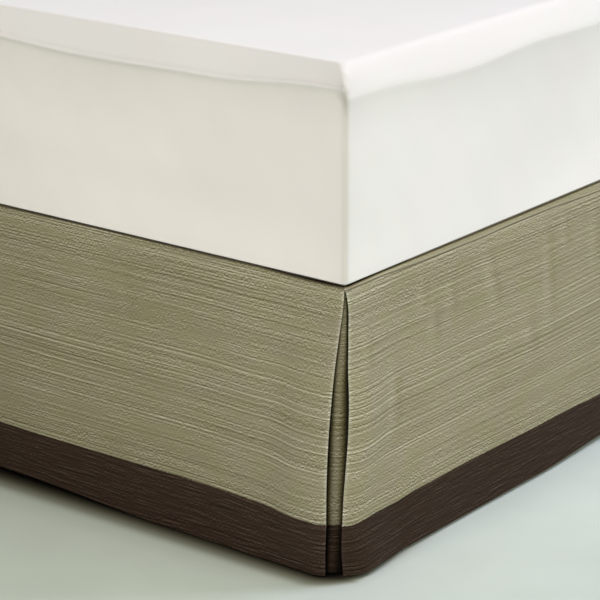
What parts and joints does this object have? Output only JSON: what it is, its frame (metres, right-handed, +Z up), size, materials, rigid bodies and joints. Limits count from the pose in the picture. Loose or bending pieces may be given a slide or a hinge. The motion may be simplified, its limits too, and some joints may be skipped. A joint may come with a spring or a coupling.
{
  "type": "tailored bed skirt with split corners on a queen bed",
  "caption": "Tailored bed skirt in khaki striated cloth with a sewn-on dark brown border band and split corners with inserts, hung between the mattress and foundation of a plain queen bed.",
  "frame": {"origin": "centre of the whole box in X and Y, on the floor under the legs' feet", "axes": "+Z up, +Y towards the head of the bed, +X towards the right side as seen from the foot"},
  "size_m": [1.5568, 2.0572, 0.642],
  "materials": {
    "striated_cloth": "khaki woven cloth with uneven horizontal light and dark yarns, matt",
    "border_cloth": "dark brown woven cloth with faint horizontal slubs, matt",
    "deck_cloth": "plain ecru lining cloth, matt",
    "white_bedding": "white percale fitted sheet drawn tight over the mattress",
    "foundation_cover": "plain off-white cover cloth of the foundation",
    "dark_wood": "dark stained wood, satin"
  },
  "bodies": {
    "root": {"bed_foundation": "foundation_cover", "bed_leg_1": "dark_wood", "bed_leg_2": "dark_wood", "bed_leg_3": "dark_wood", "bed_leg_4": "dark_wood", "bed_leg_5": "dark_wood", "bed_leg_6": "dark_wood", "bed_mattress": "white_bedding", "foot_border": "border_cloth", "foot_panel": "striated_cloth", "left_corner_insert": "striated_cloth", "left_corner_insert_border": "border_cloth", "left_side_border": "border_cloth", "left_side_panel": "striated_cloth", "right_corner_insert": "striated_cloth", "right_corner_insert_border": "border_cloth", "right_side_border": "border_cloth", "right_side_panel": "striated_cloth", "skirt_deck": "deck_cloth"}
  },
  "joints": []
}
